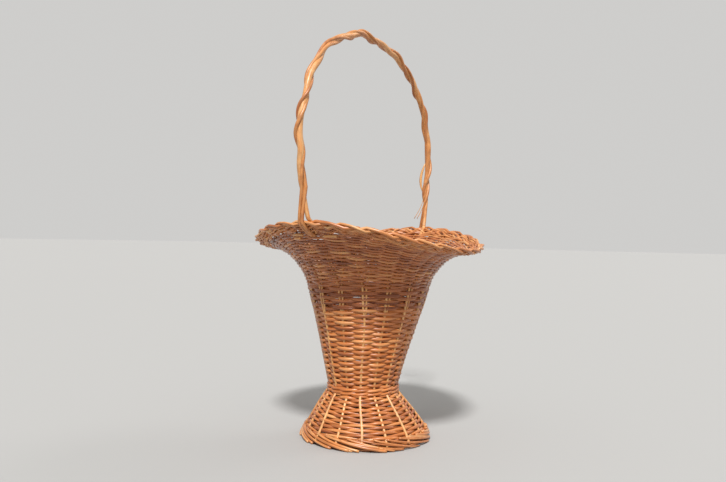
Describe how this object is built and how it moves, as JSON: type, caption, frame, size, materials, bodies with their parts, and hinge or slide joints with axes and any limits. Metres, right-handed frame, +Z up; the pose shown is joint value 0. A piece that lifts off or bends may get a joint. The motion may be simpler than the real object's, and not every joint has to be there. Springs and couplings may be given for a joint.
{
  "type": "flower_girl_basket",
  "caption": "Tall trumpet-shaped woven willow flower basket with a flared foot, narrow waist, wide ruffled rim with a plaited border, and a high arched handle of twisted rods.",
  "frame": {"origin": "the middle of the foot's underside, on the surface the basket stands on", "axes": "+X is across the handle's plane, towards one of the rim's two low sides; +Y is in the handle's plane, towards one of its feet; +Z is up"},
  "size_m": [0.3436, 0.369, 0.6],
  "materials": {
    "woven_willow": "satin",
    "border_willow": "satin",
    "stake_willow": "satin",
    "handle_willow": "satin"
  },
  "bodies": {
    "root": {"foot_border": "border_willow", "foot_weave_1": "woven_willow", "foot_weave_2": "woven_willow", "foot_weave_3": "woven_willow", "foot_weave_4": "woven_willow", "waist_wale": "woven_willow", "base_weave": "woven_willow", "base_sticks_lower": "stake_willow", "base_sticks_upper": "stake_willow", "body_weave_1": "woven_willow", "body_weave_2": "woven_willow", "body_weave_3": "woven_willow", "body_weave_4": "woven_willow", "slewed_weave_1": "woven_willow", "slewed_weave_2": "woven_willow", "slewed_weave_3": "woven_willow", "slewed_weave_4": "woven_willow", "flare_weave_1": "woven_willow", "flare_weave_2": "woven_willow", "flare_weave_3": "woven_willow", "flare_weave_4": "woven_willow", "top_border": "border_willow", "bye_stakes": "stake_willow", "side_stake_01": "stake_willow", "side_stake_02": "stake_willow", "side_stake_03": "stake_willow", "side_stake_04": "stake_willow", "side_stake_05": "stake_willow", "side_stake_06": "stake_willow", "side_stake_07": "stake_willow", "side_stake_08": "stake_willow", "side_stake_09": "stake_willow", "side_stake_10": "stake_willow", "side_stake_11": "stake_willow", "side_stake_12": "stake_willow", "side_stake_13": "stake_willow", "side_stake_14": "stake_willow", "side_stake_15": "stake_willow", "side_stake_16": "stake_willow", "foot_stake_01": "stake_willow", "foot_stake_02": "stake_willow", "foot_stake_03": "stake_willow", "foot_stake_04": "stake_willow", "foot_stake_05": "stake_willow", "foot_stake_06": "stake_willow", "foot_stake_07": "stake_willow", "foot_stake_08": "stake_willow", "foot_stake_09": "stake_willow", "foot_stake_10": "stake_willow", "foot_stake_11": "stake_willow", "foot_stake_12": "stake_willow", "foot_stake_13": "stake_willow", "foot_stake_14": "stake_willow", "foot_stake_15": "stake_willow", "foot_stake_16": "stake_willow", "handle_rod_1": "handle_willow", "handle_rod_2": "handle_willow", "handle_rod_3": "handle_willow"}
  },
  "joints": []
}
